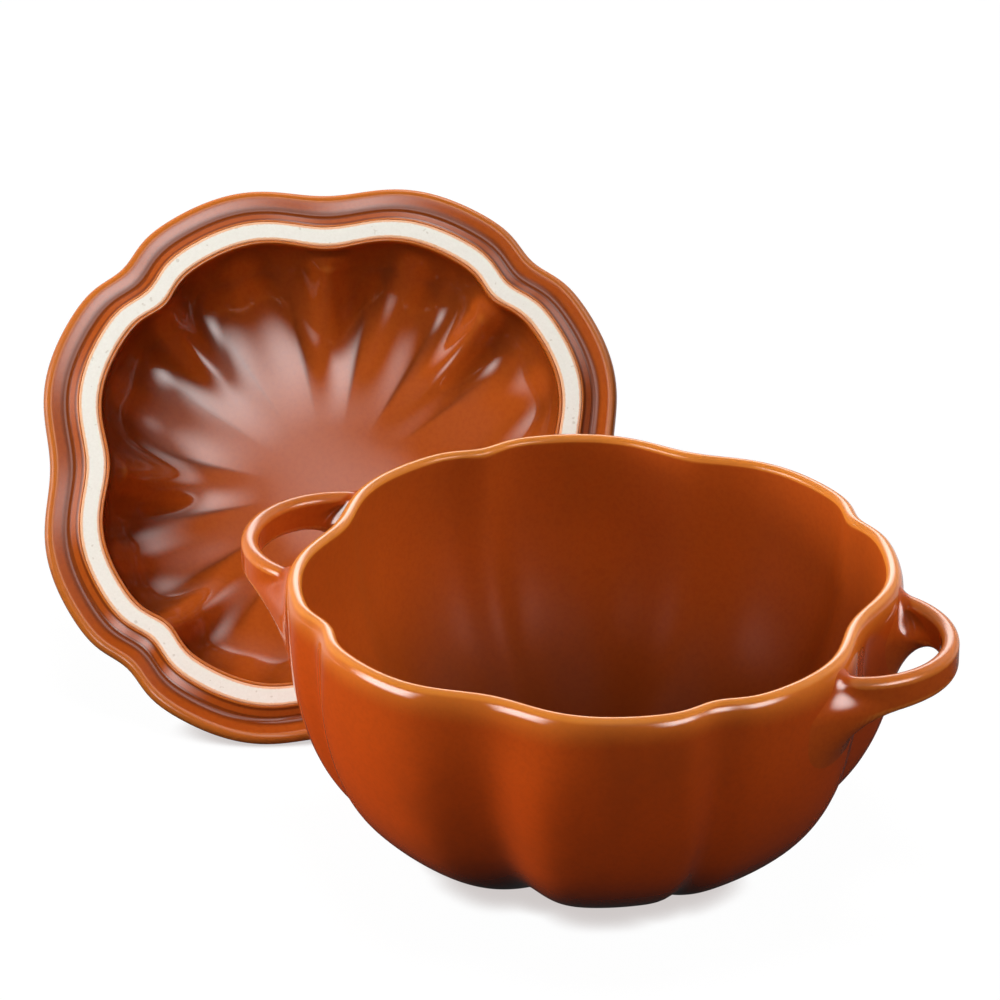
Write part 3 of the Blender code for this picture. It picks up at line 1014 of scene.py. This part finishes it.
def bare_finish():
    """The bare ring under the lid: matt clay with a thin stain where the glaze stops."""
    material, graph, shader = new_finish("bare_clay")
    place = graph.add("ShaderNodeTexCoord", out="Object")
    colour, grain = clay_colour(graph, place)
    stain = graph.ramp(graph.attribute("relief") + wavers(grain, STAIN_WAVERS), *STAIN_BEND)
    graph.plug(graph.blend(stain * STAIN_SHARE, colour, AMBER), shader.inputs["Base Color"])
    graph.plug(CLAY_ROUGHNESS + grain * GRAIN_ROUGHNESS, shader.inputs["Roughness"])
    relief = {"Strength": GRAIN_STRENGTH, "Distance": GRAIN_HEIGHT, "Height": grain}
    graph.plug(graph.add("ShaderNodeBump", None, relief), shader.inputs["Normal"])
    return material


# Studio.


def view_axes():
    a, e = CAMERA_AZIMUTH, CAMERA_ELEVATION
    right = Vector((math.cos(a), math.sin(a), 0))
    forward = Vector((-math.sin(a) * math.cos(e), math.cos(a) * math.cos(e), -math.sin(e)))
    return right, forward, right.cross(forward)


def place_camera():
    right, forward, up = view_axes()
    aim = Vector((0, 0, POT_HEIGHT)) - RIM_OFF_AXIS[0] * right - RIM_OFF_AXIS[1] * up
    camera = bpy.data.cameras.new("camera")
    camera.lens = CAMERA_LENS
    camera.sensor_width = CAMERA_SENSOR
    obj = bpy.data.objects.new("camera", camera)
    bpy.context.scene.collection.objects.link(obj)
    turn = Matrix((right, up, -forward)).transposed().to_4x4()
    obj.matrix_world = Matrix.Translation(aim - CAMERA_DISTANCE * forward) @ turn
    bpy.context.scene.camera = obj


def fade_to_edges(lamp, feather):
    lamp.use_nodes = True
    graph = Graph(lamp.node_tree)
    place = graph.add("ShaderNodeNewGeometry", out="Parametric")
    light = 1
    for axis in "XY":
        from_edge = 1 - (graph.part(place, axis) * 2 - 1).math("ABSOLUTE")
        light = light * graph.ramp(from_edge, 0.0, feather)
    graph.plug(light, lamp.node_tree.nodes["Emission"].inputs["Strength"])


def hang(panel, receivers):
    """Hangs a panel in its place and links it to what it shines on."""
    angle = CAMERA_AZIMUTH - math.pi / 2 + math.radians(panel.bearing)
    rise = math.radians(panel.elevation)
    away = Vector((math.cos(angle) * math.cos(rise), math.sin(angle) * math.cos(rise), math.sin(rise)))
    lamp = bpy.data.lights.new(panel.name, "AREA")
    lamp.shape = "RECTANGLE"
    lamp.size, lamp.size_y = panel.width, panel.height
    lamp.energy = panel.radiance * math.pi * panel.width * panel.height
    if panel.feather:
        fade_to_edges(lamp, panel.feather)
    obj = bpy.data.objects.new(panel.name, lamp)
    bpy.context.scene.collection.objects.link(obj)
    spot = LIT_SPOT + panel.distance * away
    obj.matrix_world = Matrix.Translation(spot) @ away.to_track_quat("Z", "Y").to_matrix().to_4x4()
    obj.visible_glossy = panel.job == "sheen"
    obj.visible_diffuse = panel.job == "wash"
    obj.light_linking.receiver_collection = receivers


def group(name, pieces):
    """The pieces that a lamp shines on."""
    lit = bpy.data.collections.new(name)
    for obj in pieces:
        lit.objects.link(obj)
    return lit


def lamps(floor, pot, lid):
    receivers = {"pot": group("pot_pieces", pot), "lid": group("lid_pieces", lid)}
    for panel in PANELS:
        hang(panel, receivers[panel.shines_on])
    sun = bpy.data.lights.new("floor_light", "SUN")
    sun.energy = FLOOR_LIGHT
    sun.angle = FLOOR_SHADE_BLUR
    light = bpy.data.objects.new("floor_light", sun)
    bpy.context.scene.collection.objects.link(light)
    light.light_linking.receiver_collection = group("ground", [floor])


def behind(graph, place, near, far):
    """0 in front of the pot and 1 well behind it, as the camera sees it."""
    away = tuple(view_axes()[1].to_2d().normalized().to_3d())
    sockets = {0: place, 1: away}
    towards = graph.add("ShaderNodeVectorMath", {"operation": "DOT_PRODUCT"}, sockets, out="Value")
    return graph.ramp(towards, near, far)


def backdrop():
    """White to the camera, dim to the surfaces, and mirrored in the glaze only behind the pot."""
    world = bpy.data.worlds.new("studio")
    bpy.context.scene.world = world
    world.use_nodes = True
    graph = Graph(world.node_tree)
    heading = graph.add("ShaderNodeTexCoord", out="Generated")
    mirrored = MIRRORED + behind(graph, heading, *BACKDROP_BEHIND) * (MIRRORED_BACKDROP - MIRRORED)
    level = AMBIENT + graph.ray("Is Camera Ray") * (1 - AMBIENT)
    level = level + graph.ray("Is Glossy Ray") * (mirrored - AMBIENT)
    background = world.node_tree.nodes["Background"]
    background.inputs["Color"].default_value = WHITE
    graph.plug(level, background.inputs["Strength"])


def floor_finish():
    """A white floor that keeps the shade under the pot and lid, and is mirrored only behind the pot."""
    material, graph, shader = new_finish("pale_floor")
    seen = graph.ray("Is Camera Ray")
    mirror = graph.ray("Is Glossy Ray")
    sky = {"Distance": CONTACT_REACH}
    open_sky = graph.add("ShaderNodeAmbientOcclusion", {"samples": 16}, sky, out="AO")
    shade = graph.blend(graph.ramp(open_sky, *CONTACT_OPEN), CONTACT_SHADE, FLOOR_GLOW)
    ground = graph.blend(mirror, graph.blend(seen, UNLIT_FLOOR, PALE_FLOOR), BLACK)
    graph.plug(ground, shader.inputs["Base Color"])
    spot = graph.add("ShaderNodeTexCoord", out="Object")
    mirrored = graph.blend(behind(graph, spot, *FLOOR_BEHIND), MIRRORED_FRONT, MIRRORED_FLOOR)
    mirrored = graph.blend(mirror, BLACK, mirrored)
    graph.plug(graph.blend(seen, mirrored, shade), shader.inputs["Emission Color"])
    shader.inputs["Emission Strength"].default_value = 1.0
    shader.inputs["Roughness"].default_value = FLOOR_ROUGHNESS
    shader.inputs["Specular IOR Level"].default_value = 0.0
    return material


def studio():
    scene = bpy.context.scene
    backdrop()
    half = FLOOR_HALF
    corners = [(-half, -half, 0), (half, -half, 0), (half, half, 0), (-half, half, 0)]
    mesh = bpy.data.meshes.new("floor")
    mesh.from_pydata(corners, [], [(0, 1, 2, 3)])
    mesh.materials.append(floor_finish())
    floor = bpy.data.objects.new("floor", mesh)
    scene.collection.objects.link(floor)
    scene.view_settings.view_transform = "Standard"
    return floor


# The object.


def lid_place():
    facing = Vector((math.cos(LID_FACING), math.sin(LID_FACING), 0))
    underside = math.cos(LID_LEAN) * facing + math.sin(LID_LEAN) * UP
    slope = math.cos(LID_LEAN) * UP - math.sin(LID_LEAN) * facing
    turn = Matrix((slope.cross(-underside), slope, -underside)).transposed().to_4x4()
    return Matrix.Translation(LID_SPOT) @ turn


def make_pot(tree):
    pot_glaze = pot_finish("pot_glaze", tan=0.6, amber=0.6, pool_shade_bend=(50.0, 200.0), satin=SATIN)
    handle_glaze = glaze_finish("handle_glaze", tan=0.5, amber=0.3, pool_shade_bend=(60.0, 200.0), satin=HANDLE_SATIN)
    profile = pot_profile()
    bowl = turned(tree, "glazed_bowl", profile, pot_press(profile), pot_glaze, LOBES)
    face_outwards(bowl)
    store_inside(bowl)
    shape = handle_shape()
    right = loop_handle("right_loop", shape, 1, handle_glaze)
    left = loop_handle("left_loop", shape, -1, handle_glaze)
    return [
        piece("glazed_bowl", bowl, "pot", "pot_bowl"),
        piece("right_loop", right, "pot", "handle_right"),
        piece("left_loop", left, "pot", "handle_left"),
    ]


def make_lid(tree):
    lid_glaze = glaze_finish("lid_glaze", tan=0.9, amber=0.25, pool_shade_bend=(10.0, 75.0), satin=SATIN)
    place = lid_place()
    shell, hollow = lid_profile()
    hollow_valleys, ribs = hollow_press(hollow)
    press = lid_press(shell) + hollow_valleys
    dome = turned(tree, "lid_dome", shell + hollow, press, lid_glaze, LOBES, ribs=ribs)
    section = ring_profile()
    ring = turned(tree, "seat_ring", section, lid_press(section), bare_finish(), LOBES)
    knob = stem_profile()
    stem = turned(tree, "lid_stem_knob", knob, stem_press(knob), lid_glaze, STEM_LOBES, around=STEM_AROUND)
    for vertex in stem.vertices:
        rise = max((vertex.co.z - DOME_HEIGHT) / STEM_HEIGHT, 0.0)
        vertex.co.y -= STEM_BEND * rise**2
    for mesh in (dome, ring, stem):
        face_outwards(mesh)
        mesh.transform(place)
    return [
        piece("lid_dome", dome, "lid", "lid_shell"),
        piece("seat_ring", ring, "lid", "lid_seat_ring"),
        piece("lid_stem_knob", stem, "lid", "lid_stem"),
    ]


place_camera()
FLOOR_SHEET = studio()
TURNING = lobed_turning()
lamps(FLOOR_SHEET, make_pot(TURNING), make_lid(TURNING))
